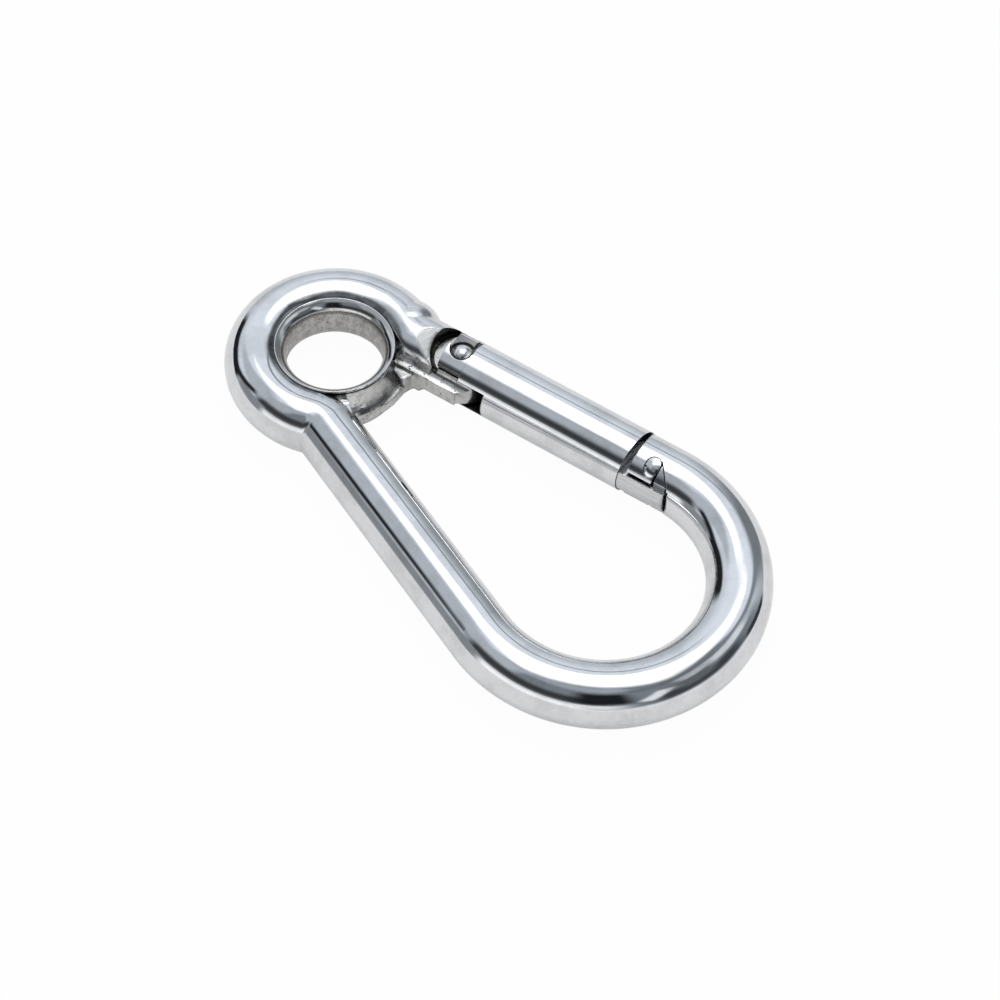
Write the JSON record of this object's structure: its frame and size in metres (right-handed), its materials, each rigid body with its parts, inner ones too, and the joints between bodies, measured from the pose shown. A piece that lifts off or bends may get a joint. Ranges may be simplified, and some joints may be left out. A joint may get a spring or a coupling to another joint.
{
  "type": "eye snap hook",
  "caption": "Pear-shaped snap hook of polished stainless bar with a flared eyelet and a sprung gate whose T-headed tongue hooks behind a cross pin.",
  "frame": {"origin": "centre of the eyelet's bore, in the mid-plane of the bar", "axes": "+Z along the eyelet's bore, +X from the eye towards the big bend, +Y towards the gate's side"},
  "size_m": [0.0991, 0.0516, 0.0102],
  "materials": {
    "polished_bar": "mirror-polished stainless steel, forged skin left on the tongue's inner side",
    "pressed_eyelet": "pressed stainless steel, rims polished, bore and waist satin with fine pits",
    "polished_gate": "mirror-polished stainless steel with milled, unpolished slots and flats",
    "rivet_steel": "headed stainless rivet, polished dome",
    "pin_steel": "polished stainless cross pin with rounded ends",
    "plunger_steel": "turned stainless steel, oiled",
    "spring_wire": "drawn stainless spring wire"
  },
  "bodies": {
    "hook": {"hook_body": "polished_bar", "eyelet": "pressed_eyelet", "latch_pin": "pin_steel"},
    "gate": {"gate": "polished_gate", "hinge_rivet": "rivet_steel", "gate_spring": "spring_wire"},
    "plunger": {"gate_plunger": "plunger_steel"}
  },
  "joints": [
    {"name": "gate_hinge", "type": "hinge", "parent": "hook", "child": "gate", "pos_m": [0.01465, 0.01322, 0], "axis": [0, 0, -1], "range_deg": [0, 37], "stiffness_Nm_per_rad": 0.3, "springref_deg": -28.65},
    {"name": "plunger_slide", "type": "slide", "parent": "gate", "child": "plunger", "axis": [0.982, 0.1891, 0], "range_m": [0, 0.0014], "deforming": ["gate_spring"]}
  ],
  "couplings": [
    {"joint": "plunger_slide", "follows": "gate_hinge", "m_per_rad": 0.0015}
  ]
}
